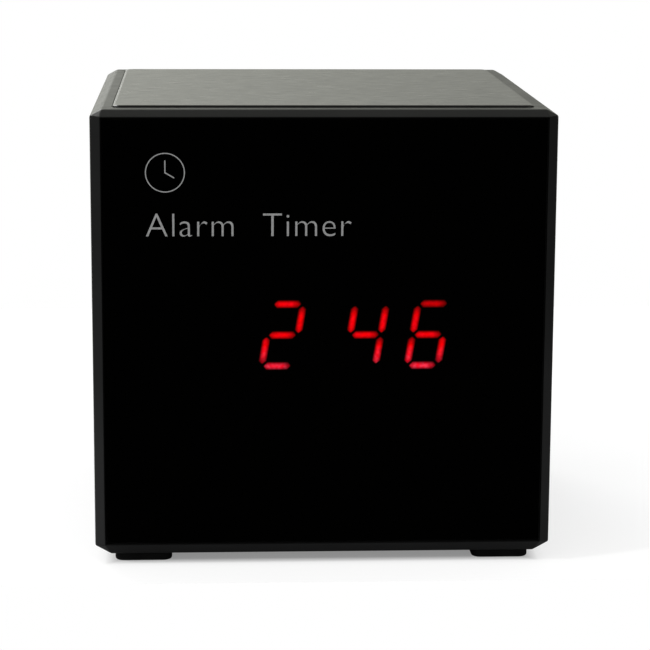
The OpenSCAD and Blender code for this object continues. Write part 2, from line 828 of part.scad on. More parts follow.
// Main board, with a notch in its rear edge for the buttons' flanges
module main_board() {
    notch = flange_d / 2 + button_gap;
    color(board_green) difference() {
        wide(main_w / 2, [main_front, main_rear], [main_z, main_top]);
        span([button_at(-1) - notch, button_at(1) + notch],
            [cap_back - button_travel - plunger_gap, main_rear + 1], [main_z - 1, main_top + 1]);
        for (x = [-1, 1], y = main_post_y)
            translate([x * main_post_x, y, main_z - 1]) cylinder(d = board_pilot_d + 0.2, h = pcb_t + 2);
    }
}
module main_board_screws() {
    color(steel) for (x = [-1, 1], y = main_post_y) translate([x * main_post_x, y, main_top]) board_screw();
}

// Processor, memory and shielded radio module, in a row behind the battery
chip_gap = 0.6;
processor = [11, 9, 1.2];
memory = [6, 8, 0.9];
radio = [14, 9, 2.2];
processor_x = -7;
memory_x = 3;
radio_x = -22;
module board_chips() {
    color("#17181a") {
        chip(processor_x, processor);
        chip(memory_x, memory);
    }
    color(steel) chip(radio_x, radio);
}
module chip(x, size) {
    translate([x - size[0] / 2, battery_y + battery_w / 2 + chip_gap, main_top]) cube(size);
}

// Inlet shell with two chamfered lower corners, open to the back, with its contact tongue
module usb_socket() {
    mouth = cover_out - 0.2;
    color(steel) {
        difference() {
            to_front(usb_x, mouth, main_top) linear_extrude(usb_d) usb_outline(0);
            to_front(usb_x, mouth + eps, main_top) linear_extrude(usb_d - 1) usb_outline(usb_wall);
        }
        span([usb_x - usb_w / 4, usb_x + usb_w / 4], [mouth - usb_d + 0.9, mouth - 1.2],
            [main_top + usb_h * 0.55, main_top + usb_h * 0.75]);
    }
}
module usb_outline(inset) {
    hw = usb_w / 2 - inset;
    low = inset;
    high = usb_h - inset;
    c = usb_chamfer;
    polygon([[-hw, high], [-hw, low + c], [c - hw, low], [hw - c, low], [hw, low + c], [hw, high]]);
}

// Flat metal card socket, open to the back
module card_socket() {
    w = card_w + 2 * card_wall;
    h = card_h + 2 * card_wall;
    color(steel) difference() {
        span([card_x - w / 2, card_x + w / 2], [main_rear - card_d, main_rear], [main_top, main_top + h]);
        span([card_x - card_w / 2, card_x + card_w / 2], [main_rear - card_d + 1, main_rear + 1],
            [main_top + card_wall, main_top + h - card_wall]);
    }
}

// Power switch: a hollow body with a slot, and a slider whose knob comes out through it
module switch_body() {
    room_x = switch_w / 2 - switch_wall;
    room_z = switch_h / 2 - switch_wall;
    slot_x = (knob_w + switch_travel) / 2 + switch_play;
    slot_z = knob_h / 2 + switch_play / 2;
    inside_y = [main_rear - switch_d + switch_wall, main_rear - switch_wall];
    color("#b9babd") translate([switch_x, 0, switch_z]) difference() {
        wide(switch_w / 2, [main_rear - switch_d, main_rear], [-switch_h / 2, switch_h / 2]);
        wide(room_x, inside_y, [-room_z, room_z]);
        wide(slot_x, [inside_y[1] - 1, main_rear + 1], [-slot_z, slot_z]);
    }
}
module switch_knob() {
    slider_y = [main_rear - switch_d + switch_wall + switch_play, main_rear - switch_wall - switch_play];
    color("#1c1c1c") translate([switch_x - switch_travel / 2, 0, switch_z]) {
        wide(slider_w / 2, slider_y, [-slider_h / 2, slider_h / 2]);
        difference() {
            wide(knob_w / 2, [slider_y[1] - eps, rear_y], [-knob_h / 2, knob_h / 2]);
            for (x = [-1, 0, 1]) translate([x * groove_pitch, 0, 0])
                wide(groove_w / 2, [rear_y - groove_w, rear_y + 1], [-knob_h, knob_h]);
        }
    }
}

// Set buttons: press switches on the main board, their plungers and the caps in the cover
function button_at(i) = button_x + i * button_pitch;
module button_switches() {
    color("#1a1a1a") for (i = [-1, 0, 1])
        to_rear(button_at(i), tact_face - tact_t, button_z) press_switch(tact_w, plunger_d + 2 * plunger_gap);
}
module button_plunger(i) {
    color("#202020") to_rear(button_at(i), tact_face - tact_t, button_z)
        plunger(plunger_d, plunger_out, button_travel);
}
module button_cap(i) {
    edge = 0.5;
    r = button_d / 2;
    out = rear_y - cap_back;
    color("#3c3d40") to_rear(button_at(i), cap_back, button_z) rotate_extrude()
        polygon([[0, 0], [flange_d / 2, 0], [flange_d / 2, flange_t], [r, flange_t], [r, out - edge],
            for (a = [30, 60]) [r - edge + edge * cos(a), out - edge + edge * sin(a)],
            [r - edge, out], [0, out]]);
}
module set_button() {
    button_cap(1);
}
module up_button() {
    button_cap(0);
}
module down_button() {
    button_cap(-1);
}
module set_plunger() {
    button_plunger(1);
}
module up_plunger() {
    button_plunger(0);
}
module down_plunger() {
    button_plunger(-1);
}

// Reset switch behind its pinhole, on a short leg
module reset_switch() {
    y = reset_face - tact_t;
    hw = reset_w / 2;
    color("#1a1a1a") {
        to_rear(reset_x, y, reset_z) press_switch(reset_w, reset_plunger_d + 2 * plunger_gap);
        span([reset_x - hw, reset_x + hw], [y, reset_face], [main_top, reset_z - hw + eps]);
    }
}
module reset_plunger() {
    color("#c9b458") to_rear(reset_x, reset_face - tact_t, reset_z)
        plunger(reset_plunger_d, plunger_out, button_travel);
}

// Speaker on the rear cover, each part revolved about its axis: basket, cone and magnet
speaker_rim = 2.6;
basket_t = 1;
basket_taper = 4.1;
cone_gap = 0.1;
cone_t = 0.4;
surround_w = 1.5;
cone_deep = 3.3;
dust_cap_r = 4.2;
dust_cap_deep = 2.3;
yoke_t = 0.9;
yoke_step = 0.6;
module speaker_frame() {
    r = speaker_d / 2;
    floor_r = r - speaker_rim + basket_t * 1.2 - basket_taper;
    inside_r = floor_r - basket_t;
    color("#2a2a2c") to_front(0, cover_in, speaker_z) rotate_extrude()
        polygon([[r - speaker_rim, 0], [r, 0], [r, flange_h], [r - speaker_rim + basket_t * 1.2, flange_h],
            [floor_r, basket_h - basket_t], [floor_r, basket_h], [0, basket_h], [0, basket_h - basket_t],
            [inside_r, basket_h - basket_t], [r - speaker_rim, flange_h]]);
}
module speaker_cone() {
    r = speaker_d / 2 - speaker_rim - cone_gap;
    fold = r - surround_w;
    cap = dust_cap_r;
    sag = (cone_deep + dust_cap_deep) / 2 - cone_gap * 2;
    color("#3a3a3c") to_front(0, cover_in, speaker_z) rotate_extrude()
        polygon([[r, cone_t], [fold, cone_t], [cap, cone_deep], [cap / 2, sag], [0, dust_cap_deep],
            [0, dust_cap_deep + cone_t], [cap / 2, sag + cone_t], [cap, cone_deep + cone_t],
            [cap + cone_t / 2, cone_deep + cone_t], [fold + cone_t / 2, 2 * cone_t], [r, 2 * cone_t]]);
}
// Magnet disc between a washer and a yoke with chamfered edges
module speaker_magnet() {
    r = speaker_d / 4;
    yoke_r = r - yoke_step;
    c = yoke_step / 2;
    color(steel) to_front(0, cover_in - basket_h, speaker_z) rotate_extrude()
        polygon([[0, 0], [yoke_r, 0], [yoke_r, yoke_t], [r, yoke_t], [r, magnet_h - yoke_t],
            [yoke_r, magnet_h - yoke_t], [yoke_r, magnet_h - c], [yoke_r - c, magnet_h], [0, magnet_h]]);
}

// Battery pouch with rounded long edges, taped to the main board
battery_tape_inset = 3;
module battery_tape() {
    color("#d8d4c8") translate([0, battery_y, main_top]) linear_extrude(battery_tape_t)
        square([battery_l - 2 * battery_tape_inset, battery_w - 2 * battery_tape_inset], center = true);
}
module battery_pouch() {
    color("#b8bcc2") translate([0, battery_y, main_top + battery_tape_t + battery_t / 2]) rotate([0, 90, 0])
        linear_extrude(battery_l, center = true) rounded(battery_t, battery_w, battery_t / 4);
}

// Ribbon between the two boards, with a connector at each end
conn_w = ribbon_w + 2;
conn_t = 2;
conn_l = 4;
conn_up_z = disp_board_z[0] + 4;
conn_low_y = main_front + 0.5;
ribbon_y = disp_back + conn_t / 2;
ribbon_z = main_top + conn_t / 2;
module ribbon_connectors() {
    color("#e6dfcc") {
        wide(conn_w / 2, [disp_back, disp_back + conn_t], [conn_up_z, conn_up_z + conn_l]);
        wide(conn_w / 2, [conn_low_y, conn_low_y + conn_l], [main_top, main_top + conn_t]);
    }
}
module display_ribbon() {
    middle = [ribbon_y + ribbon_r, ribbon_z + ribbon_r];
    inner = ribbon_r - ribbon_t;
    bend = [for (a = [180 : 15 : 270]) middle + ribbon_r * [cos(a), sin(a)]];
    bend_in = [for (a = [270 : -15 : 180]) middle + inner * [cos(a), sin(a)]];
    low_end = [[conn_low_y, ribbon_z], [conn_low_y, ribbon_z + ribbon_t]];
    color("#d9dbe0") rotate([90, 0, 90]) linear_extrude(ribbon_w, center = true)
        polygon(concat([[ribbon_y, conn_up_z]], bend, low_end, bend_in, [[ribbon_y + ribbon_t, conn_up_z]]));
}

// Flexible aerial stuck to the left wall
antenna_y = 3;
antenna_l = 22;
antenna_h = 8;
antenna_t = 0.3;
module wifi_antenna() {
    color("#1d1d1f") span([-inner_x, antenna_t - inner_x],
        [antenna_y - antenna_l / 2, antenna_y + antenna_l / 2], [mid_z, mid_z + antenna_h]);
}

housing();
front_panel();
panel_tape();
rear_cover();
cover_screws();
feet();
snooze_plate();
snooze_springs();
snooze_plunger();
snooze_switch();
snooze_board();
snooze_board_screws();
led_display();
lit_segments();
dark_segments();
display_board();
display_screws();
camera_board();
camera_holder();
camera_barrel();
camera_lens();
ir_leds();
main_board();
main_board_screws();
board_chips();
usb_socket();
card_socket();
switch_body();
switch_knob();
button_switches();
set_button();
up_button();
down_button();
set_plunger();
up_plunger();
down_plunger();
reset_switch();
reset_plunger();
speaker_frame();
speaker_cone();
speaker_magnet();
battery_tape();
battery_pouch();
ribbon_connectors();
display_ribbon();
wifi_antenna();
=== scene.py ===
"""Looks of the clock: softened edges, materials, glowing digits, print, and a white studio."""

import math

import bmesh
import bpy
from mathutils import Matrix, Vector


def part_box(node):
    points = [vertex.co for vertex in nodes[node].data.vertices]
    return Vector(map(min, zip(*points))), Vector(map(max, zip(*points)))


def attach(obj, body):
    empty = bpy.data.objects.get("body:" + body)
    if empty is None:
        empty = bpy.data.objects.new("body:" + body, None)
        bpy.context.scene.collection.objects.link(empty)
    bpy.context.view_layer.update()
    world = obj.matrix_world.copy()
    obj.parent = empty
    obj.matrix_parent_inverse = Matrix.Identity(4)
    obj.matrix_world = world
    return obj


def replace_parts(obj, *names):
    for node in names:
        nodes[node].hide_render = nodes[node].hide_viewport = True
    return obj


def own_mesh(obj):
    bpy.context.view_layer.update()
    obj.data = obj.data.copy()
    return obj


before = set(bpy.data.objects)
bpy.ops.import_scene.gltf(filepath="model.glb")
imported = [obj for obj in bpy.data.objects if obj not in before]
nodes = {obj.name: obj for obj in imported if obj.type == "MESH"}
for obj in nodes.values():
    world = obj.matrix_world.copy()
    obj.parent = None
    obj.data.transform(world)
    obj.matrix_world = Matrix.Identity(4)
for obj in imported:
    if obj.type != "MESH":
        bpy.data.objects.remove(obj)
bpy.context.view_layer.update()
scene = bpy.context.scene
MM = 0.001


# Shader nodes that the materials and the world share

def map_range(tree, value, low, high, start, end, interpolation="LINEAR"):
    """Passes from start to end while the value goes from low to high."""
    node = tree.nodes.new("ShaderNodeMapRange")
    node.interpolation_type = interpolation
    for socket, number in zip(("From Min", "From Max", "To Min", "To Max"), (low, high, start, end)):
        node.inputs[socket].default_value = number
    tree.links.new(value, node.inputs["Value"])
    return node.outputs["Result"]


def math_node(tree, kind, *values):
    node = tree.nodes.new("ShaderNodeMath")
    node.operation = kind
    for value, socket in zip(values, node.inputs):
        tree.links.new(value, socket)
    return node.outputs[0]


def split(tree, vector):
    """X, Y and Z of a vector."""
    node = tree.nodes.new("ShaderNodeSeparateXYZ")
    tree.links.new(vector, node.inputs[0])
    return node.outputs


# Materials

# Most values of a noise lie between these two
NOISE_LOW = 0.3
NOISE_HIGH = 0.7
# A wave texture has this many bands in 2 pi units
WAVE_BANDS = 20
# Places of the two colours and of the result among the sockets of a Mix node
COLOUR_A = 6
COLOUR_B = 7
COLOUR_OUT = 2


class Paint:
    """One Principled material whose colour, gloss and relief come from noise in object coordinates."""

    def __init__(self, name, sockets):
        self.material = bpy.data.materials.new(name)
        self.material.use_nodes = True
        self.tree = self.material.node_tree
        self.link = self.tree.links.new
        self.shader = self.tree.nodes["Principled BSDF"]
        self.place = self.tree.nodes.new("ShaderNodeTexCoord").outputs["Object"]
        for socket, value in sockets.items():
            self.shader.inputs[socket].default_value = value

    def texture(self, kind, size, stretch=(1, 1, 1)):
        """Texture whose features are about size millimetres, longer along an axis by stretch."""
        scaled = self.tree.nodes.new("ShaderNodeMapping")
        scaled.inputs["Scale"].default_value = [1 / MM / size / longer for longer in stretch]
        self.link(self.place, scaled.inputs["Vector"])
        node = self.tree.nodes.new("ShaderNodeTex" + kind)
        node.inputs["Scale"].default_value = 1.0
        self.link(scaled.outputs["Vector"], node.inputs["Vector"])
        return node

    def noise(self, size, detail=3.0, distortion=0.0, stretch=(1, 1, 1)):
        node = self.texture("Noise", size, stretch)
        node.inputs["Detail"].default_value = detail
        node.inputs["Distortion"].default_value = distortion
        return node.outputs["Fac"]

    def stripes(self, pitch, axis):
        """Even bands across one axis, pitch millimetres apart."""
        node = self.texture("Wave", pitch * WAVE_BANDS / (2 * math.pi))
        node.bands_direction = axis
        return node.outputs["Fac"]

    def cracks(self, size):
        """Distance to the nearest cell wall, for thin lines between cells of that size."""
        node = self.texture("Voronoi", size)
        node.feature = "DISTANCE_TO_EDGE"
        return node.outputs["Distance"]

    def ramp(self, value, low, dark, high, light):
        """Colour that goes from dark to light while the value goes from low to high."""
        node = self.tree.nodes.new("ShaderNodeValToRGB")
        first, last = node.color_ramp.elements
        first.position, first.color = low, (*dark, 1)
        last.position, last.color = high, (*light, 1)
        self.link(value, node.inputs["Fac"])
        return node.outputs["Color"]

    def blend(self, first, second, factor=None):
        """Goes from the first colour to the second by the factor, or multiplies them where none is given."""
        node = self.tree.nodes.new("ShaderNodeMix")
        node.data_type = "RGBA"
        if factor is None:
            node.blend_type = "MULTIPLY"
            node.inputs["Factor"].default_value = 1.0
        else:
            self.link(factor, node.inputs["Factor"])
        self.link(first, node.inputs[COLOUR_A])
        self.link(second, node.inputs[COLOUR_B])
        return node.outputs[COLOUR_OUT]

    def tint(self, value, dark, light, low=NOISE_LOW, high=NOISE_HIGH):
        self.link(self.ramp(value, low, dark, high, light), self.shader.inputs["Base Color"])

    def gloss(self, value, low, high):
        rough = map_range(self.tree, value, NOISE_LOW, NOISE_HIGH, low, high)
        self.link(rough, self.shader.inputs["Roughness"])

    def relief(self, value, depth, strength=1.0):
        """Bump of that depth in millimetres, on top of any relief made before."""
        node = self.tree.nodes.new("ShaderNodeBump")
        node.inputs["Strength"].default_value = strength
        node.inputs["Distance"].default_value = depth * MM
        self.link(value, node.inputs["Height"])
        normal = self.shader.inputs["Normal"]
        if normal.is_linked:
            self.link(normal.links[0].from_socket, node.inputs["Normal"])
        self.link(node.outputs["Normal"], normal)


def grey(level, warm=0.0):
    return (level * (1 + warm), level, level * (1 - warm))


def moulded(name, level, rough, grain, depth, warm=-0.02):
    """Moulded plastic: faint cloudiness, uneven gloss and a fine spark-eroded grain."""
    p = Paint(name, {"Specular IOR Level": 0.5})
    p.tint(p.noise(14), grey(level * 0.88, warm), grey(level * 1.12, warm))
    p.gloss(p.noise(5), rough - 0.03, rough + 0.03)
    p.relief(p.noise(grain, 2), depth)
    return p.material


def metal(name, level, rough, stretch=(1, 1, 1)):
    """Plated metal with fine drawing marks along one axis."""
    p = Paint(name, {"Metallic": 1.0})
    p.tint(p.noise(3), grey(level * 0.9), grey(level * 1.08))
    p.gloss(p.noise(0.4, 3, 0, stretch), rough - 0.08, rough + 0.08)
    p.relief(p.noise(0.2, 2, 0, stretch), 0.002)
    return p.material


def case_material():
    """Moulded charcoal, blackened on the narrow rim that frames the panel."""
    p = Paint("case_plastic", {"Specular IOR Level": 0.09})
    cloud = p.ramp(p.noise(14), NOISE_LOW, grey(0.0066, -0.02), NOISE_HIGH, grey(0.0084, -0.02))
    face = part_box("housing")[0].y
    depth = split(p.tree, p.place)["Y"]
    rim = map_range(p.tree, depth, face + 0.02 * MM, face + 0.06 * MM, 0.06, 1.0)
    p.link(p.blend(cloud, rim), p.shader.inputs["Base Color"])
    p.gloss(p.noise(5), 0.31, 0.37)
    p.relief(p.noise(0.16, 2), 0.003)
    return p.material


def plate_material():
    """Plate with a wavy grain that runs from side to side, and finer pores in it."""
    p = Paint("plate_plastic", {"Specular IOR Level": 0.35})
    grain = p.noise(1.1, 3, 0.6, (3.2, 1, 1))
    pores = p.noise(0.4, 2, 0.2, (3, 1, 1))
    p.tint(grain, grey(0.006, 0.03), grey(0.01, 0.03))
    p.gloss(grain, 0.26, 0.35)
    p.relief(grain, 0.01)
    p.relief(pores, 0.004)
    return p.material


def smoked_material():
    """Dark clear plate, polished, with the faintest unevenness of gloss."""
    p = Paint("smoked_panel", {"Transmission Weight": 1.0, "IOR": 1.15})
    p.gloss(p.noise(20), 0.012, 0.025)
    p.tint(p.noise(30), (0.0115, 0.0115, 0.012), (0.0125, 0.0125, 0.013))
    return p.material


def lit_material():
    """Glowing epoxy: bright along each bar's middle, dim at its rim, mottled, and pinker low down."""
    p = Paint("lit_red", {"Base Color": (0.05, 0.001, 0.002, 1), "Emission Strength": 88.0})
    glow = p.tree.nodes.new("ShaderNodeAttribute")
    glow.attribute_name = "glow"
    height = split(p.tree, p.place)["Z"]
    low_down = map_range(p.tree, height, 34.5 * MM, 39 * MM, 1.0, 0.0)
    pink = p.ramp(p.noise(0.7, 2), 0.4, (1.0, 0.008, 0.03), 0.65, (1.0, 0.05, 0.1))
    red = p.ramp(p.noise(0.9, 2), 0.4, (1.0, 0.0005, 0.002), 0.7, (1.0, 0.002, 0.008))
    mottle = p.ramp(p.noise(0.6, 3), 0.3, grey(0.72), 0.6, grey(1.0))
    uneven = p.blend(p.blend(red, pink, low_down), mottle)
    p.link(p.blend(uneven, glow.outputs["Color"]), p.shader.inputs["Emission Color"])
    p.gloss(p.noise(0.8), 0.4, 0.6)
    return p.material


def dark_material():
    p = Paint("dark_red", {})
    p.tint(p.noise(0.8), (0.009, 0.004, 0.0045), (0.014, 0.006, 0.007))
    p.gloss(p.noise(0.8), 0.4, 0.6)
    return p.material


def rubber_material():
    p = Paint("foot_rubber", {"Specular IOR Level": 0.1})
    p.tint(p.noise(2), grey(0.003), grey(0.006))
    p.gloss(p.noise(1), 0.6, 0.75)
    p.relief(p.noise(0.15, 2), 0.006)
    return p.material


def board_material(name, dark, light):
    """Solder mask over copper: thin paler lines between cells, and a slight orange peel."""
    p = Paint(name, {"Specular IOR Level": 0.5})
    cells = p.cracks(2.4)
    p.tint(cells, light, dark, 0.03, 0.06)
    p.gloss(p.noise(2), 0.2, 0.32)
    p.relief(cells, 0.01, 0.4)
    p.relief(p.noise(0.6), 0.003)
    return p.material


def tape_material(name, level):
    p = Paint(name, {"Specular IOR Level": 0.2})
    p.tint(p.noise(0.6), grey(level * 0.85, 0.04), grey(level * 1.1, 0.04))
    p.gloss(p.noise(0.5), 0.8, 0.95)
    p.relief(p.noise(0.25, 4), 0.02)
    return p.material


def lens_material():
    p = Paint("lens_glass", {
        "Transmission Weight": 0.7, "IOR": 1.5, "Coat Weight": 1.0, "Coat IOR": 1.7,
        "Coat Tint": (0.75, 0.7, 1.0, 1)})
    p.tint(p.noise(2), (0.04, 0.035, 0.09), (0.06, 0.06, 0.12))
    p.gloss(p.noise(1), 0.02, 0.05)
    return p.material


def epoxy_material():
    p = Paint("ir_epoxy", {"Transmission Weight": 0.6, "IOR": 1.5})
    p.tint(p.noise(1.5), (0.016, 0.006, 0.022), (0.03, 0.014, 0.04))
    p.gloss(p.noise(1), 0.06, 0.14)
    return p.material


def paper_material():
    p = Paint("cone_paper", {"Specular IOR Level": 0.25})
    p.tint(p.noise(0.7, 5), grey(0.02), grey(0.04))
    p.gloss(p.noise(0.7), 0.75, 0.9)
    p.relief(p.noise(0.2, 5, 0.5), 0.03)
    return p.material


def foil_material():
    p = Paint("pouch_foil", {"Metallic": 0.9})
    p.tint(p.noise(6), grey(0.5), grey(0.6))
    p.gloss(p.noise(4), 0.3, 0.45)
    p.relief(p.noise(5, 4, 0.8), 0.12, 0.6)
    return p.material


def ribbon_material():
    p = Paint("ribbon_film", {"Specular IOR Level": 0.5, "Coat Weight": 0.3})
    p.tint(p.stripes(1.0, "X"), (0.42, 0.43, 0.46), (0.78, 0.79, 0.82), 0.35, 0.65)
    p.gloss(p.noise(1.5), 0.22, 0.32)
    return p.material


def ink_material(name, level):
    p = Paint(name, {"Specular IOR Level": 0.3})
    p.tint(p.noise(0.35, 3), grey(level * 0.8), grey(level * 1.1))
    p.gloss(p.noise(0.5), 0.5, 0.65)
    return p.material


key_plastic = moulded("key_plastic", level=0.02, rough=0.42, grain=0.2, depth=0.004)
black_plastic = moulded("black_plastic", level=0.012, rough=0.5, grain=0.25, depth=0.006)
chip_black = moulded("chip_black", level=0.016, rough=0.55, grain=0.12, depth=0.003)
connector_ivory = moulded("connector_ivory", level=0.62, rough=0.45, grain=0.3, depth=0.003, warm=0.12)
steel = metal("steel", level=0.5, rough=0.32)
contact_metal = metal("contact_metal", level=0.6, rough=0.26, stretch=(1, 8, 1))
case_plastic = case_material()
plate_plastic = plate_material()
smoked_panel = smoked_material()
lit_red = lit_material()
dark_red = dark_material()
foot_rubber = rubber_material()
board_green = board_material("board", dark=(0.006, 0.045, 0.02), light=(0.02, 0.1, 0.045))
board_blue = board_material("board_blue", dark=(0.004, 0.022, 0.06), light=(0.012, 0.05, 0.12))
foam_black = tape_material("foam_black", level=0.012)
tape_cream = tape_material("tape", level=0.68)
lens_glass = lens_material()
ir_epoxy = epoxy_material()
cone_paper = paper_material()
pouch_foil = foil_material()
ribbon_film = ribbon_material()
panel_ink = ink_material("panel_ink", level=0.22)
cover_ink = ink_material("cover_ink", level=0.5)

DRESS = [
    (case_plastic, ["housing", "rear_cover"]),
    (plate_plastic, ["snooze_plate"]),
    (smoked_panel, ["front_panel"]),
    (foot_rubber, ["feet"]),
    (foam_black, ["panel_tape"]),
    (tape_cream, ["battery_tape"]),
    (lit_red, ["lit_segments"]),
    (dark_red, ["dark_segments"]),
    (black_plastic, ["led_display", "snooze_switch", "snooze_plunger", "button_switches", "set_plunger",
                     "up_plunger", "down_plunger", "reset_switch", "camera_holder", "camera_barrel",
                     "switch_knob", "speaker_frame", "wifi_antenna"]),
    (key_plastic, ["set_button", "up_button", "down_button", "reset_plunger"]),
    (board_green, ["snooze_board", "display_board", "main_board"]),
    (board_blue, ["camera_board"]),
    (chip_black, ["board_chips"]),
    (steel, ["cover_screws", "snooze_board_screws", "display_screws", "main_board_screws", "snooze_springs",
             "speaker_magnet"]),
    (contact_metal, ["usb_socket", "card_socket", "switch_body"]),
    (lens_glass, ["camera_lens"]),
    (ir_epoxy, ["ir_leds"]),
    (cone_paper, ["speaker_cone"]),
    (pouch_foil, ["battery_pouch"]),
    (connector_ivory, ["ribbon_connectors"]),
    (ribbon_film, ["display_ribbon"]),
]
for material, names in DRESS:
    for name in names:
        nodes[name].data.materials.clear()
        nodes[name].data.materials.append(material)


# Pieces

SMOOTH_BELOW = math.radians(34)
EDGE_ABOVE = math.radians(18)
FLAT_WITHIN = math.radians(0.5)
# Lengths in metres: points this close are one, and points this close to a plane lie on it
WELD = 1e-6
ON_PLANE = 3e-6
# Faces of the hull smaller than this many square metres are slivers
SLIVER = 1e-9
# A face that fills less than this share of its box is a thin frame
FRAME_SHARE = 0.15
# Edges that come this near the foremost face belong to it
FORE_REACH = 0.3 * MM


def add_piece(name, bm, material, body):
    """New object of that mesh, smooth between its sharp edges, that rides a body."""
    mesh = bpy.data.meshes.new(name)
    bm.to_mesh(mesh)
    bm.free()
    mesh.polygons.foreach_set("use_smooth", [True] * len(mesh.polygons))
    mesh.set_sharp_from_angle(angle=SMOOTH_BELOW)
    mesh.materials.append(material)
    piece = bpy.data.objects.new(name, mesh)
    scene.collection.objects.link(piece)
    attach(piece, body)
    return piece


def weigh_normals(piece):
    """Keeps large flats flat beside the narrow rounded edges."""
    modifier = piece.modifiers.new("weighted", "WEIGHTED_NORMAL")
    modifier.keep_sharp = True
    modifier.weight = 100


def clean_copy(node):
    """The node's mesh with its triangles merged back into whole faces. Thin frames are cut at
    their corners."""
    bm = bmesh.new()
    bm.from_mesh(nodes[node].data)
    bmesh.ops.remove_doubles(bm, verts=bm.verts, dist=WELD)
    bmesh.ops.dissolve_limit(bm, angle_limit=FLAT_WITHIN, verts=bm.verts, edges=bm.edges)

    def reach(face):
        sides = [max(v.co[i] for v in face.verts) - min(v.co[i] for v in face.verts) for i in range(3)]
        sides.sort()
        return sides[1] * sides[2]

    frames = [f for f in bm.faces if len(f.verts) > 4 and f.calc_area() < FRAME_SHARE * reach(f)]
    if frames:
        bmesh.ops.connect_verts_concave(bm, faces=frames)
    return bm


def outer_planes(bm):
    """Planes of the convex hull, each as a normal and a distance."""
    hull = bmesh.new()
    for v in bm.verts:
        hull.verts.new(v.co)
    bmesh.ops.convex_hull(hull, input=hull.verts)
    hull.normal_update()
    planes = [(f.normal.copy(), f.normal.dot(f.verts[0].co)) for f in hull.faces if f.calc_area() > SLIVER]
    hull.free()
    return planes


def soften(bm, edge_mm, rim_mm, front_mm=None):
    """Rounds the outer edges by one width, the rims of openings in them by another, and, where
    front_mm is given, the edges that reach the foremost face by a third."""
    planes = outer_planes(bm)
    kind = bm.edges.layers.float.new("edge_kind")
    rim_kind, fore_kind = 1.0, 2.0
    bm.normal_update()
    near = min(v.co.y for v in bm.verts) + FORE_REACH

    def outer(face):
        return any(all(abs(n.dot(v.co) - d) < ON_PLANE for v in face.verts) for n, d in planes)

    def round_over(edges, width, segments):
        if edges and width:
            bmesh.ops.bevel(bm, geom=edges, offset=width * MM, segments=segments, profile=0.5,
                            affect="EDGES", clamp_overlap=False)

    def of_kind(number):
        return [e for e in bm.edges if abs(e[kind] - number) < 0.4 and len(e.link_faces) == 2
                and e.calc_face_angle() > EDGE_ABOVE]

    on_skin = {f: outer(f) for f in bm.faces}
    edges = []
    for e in bm.edges:
        if len(e.link_faces) != 2 or not e.is_convex or e.calc_face_angle() < EDGE_ABOVE:
            continue
        count = sum(on_skin[f] for f in e.link_faces)
        if count == 2 and front_mm and min(v.co.y for v in e.verts) < near:
            e[kind] = fore_kind
        elif count == 2:
            edges.append(e)
        elif count == 1:
            e[kind] = rim_kind
    round_over(edges, edge_mm, 3)
    round_over(of_kind(fore_kind), front_mm, 3)
    round_over(of_kind(rim_kind), rim_mm, 2)
    bm.edges.layers.float.remove(kind)


def softened(node, name, material, body, edge_mm, rim_mm, front_mm=None):
    """Piece that shows a node with its edges rounded."""
    bm = clean_copy(node)
    soften(bm, edge_mm, rim_mm, front_mm)
    piece = add_piece(name, bm, material, body)
    weigh_normals(piece)
    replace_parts(piece, node)
    return piece


def bridge(bm, rings, capped=True):
    """Faces from each ring of points to the next, and over the first and the last where capped."""
    count = len(rings[0])
    for a, b in zip(rings, rings[1:]):
        for k in range(count):
            bm.faces.new((a[k], a[(k + 1) % count], b[(k + 1) % count], b[k]))
    if capped:
        bm.faces.new(list(reversed(rings[0])))
        bm.faces.new(rings[-1])


def heading(path, i):
    """Direction of a path at one of its points."""
    return (path[min(i + 1, len(path) - 1)] - path[max(i - 1, 0)]).normalized()


def rubber_feet():
    """Four square pads with rounded corners and softly broken lower edges."""
    low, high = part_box("feet")
    width, corner, edge = 10 * MM, 1.6 * MM, 0.35 * MM
    corner_steps, edge_steps = 6, 4
    bm = bmesh.new()

    def ring(x, y, inset, z):
        points = []
        for quarter in range(4):
            lean = math.radians(45 + 90 * quarter)
            away = Vector((math.cos(lean), math.sin(lean)))
            hub = Vector((x, y)) + away * math.sqrt(2) * (width / 2 - corner)
            for i in range(corner_steps + 1):
                a = math.radians(90 * quarter + 90 * i / corner_steps)
                point = hub + (corner - inset) * Vector((math.cos(a), math.sin(a)))
                points.append(bm.verts.new((point.x, point.y, z)))
        return points

    levels = [(0, high.z)]
    for i in range(edge_steps + 1):
        a = math.radians(90 * i / edge_steps)
        levels.append((edge * (1 - math.cos(a)), low.z + edge * (1 - math.sin(a))))
    for sx in (-1, 1):
        for sy in (-1, 1):
            x, y = sx * (high.x - width / 2), sy * (high.y - width / 2)
            bridge(bm, [ring(x, y, inset, z) for inset, z in levels])
    bmesh.ops.recalc_face_normals(bm, faces=bm.faces)
    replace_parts(add_piece("rubber_feet", bm, foot_rubber, "case"), "feet")


def tube(bm, path, radius, sides):
    """Closed tube along a list of points, with flat ends."""
    turns = [2 * math.pi * k / sides for k in range(sides)]
    rings = []
    for i, p in enumerate(path):
        ahead = heading(path, i)
        side = ahead.cross(Vector((0, 0, 1))).normalized()
        up = side.cross(ahead)
        rings.append([bm.verts.new(p + radius * (math.cos(a) * side + math.sin(a) * up)) for a in turns])
    bridge(bm, rings)


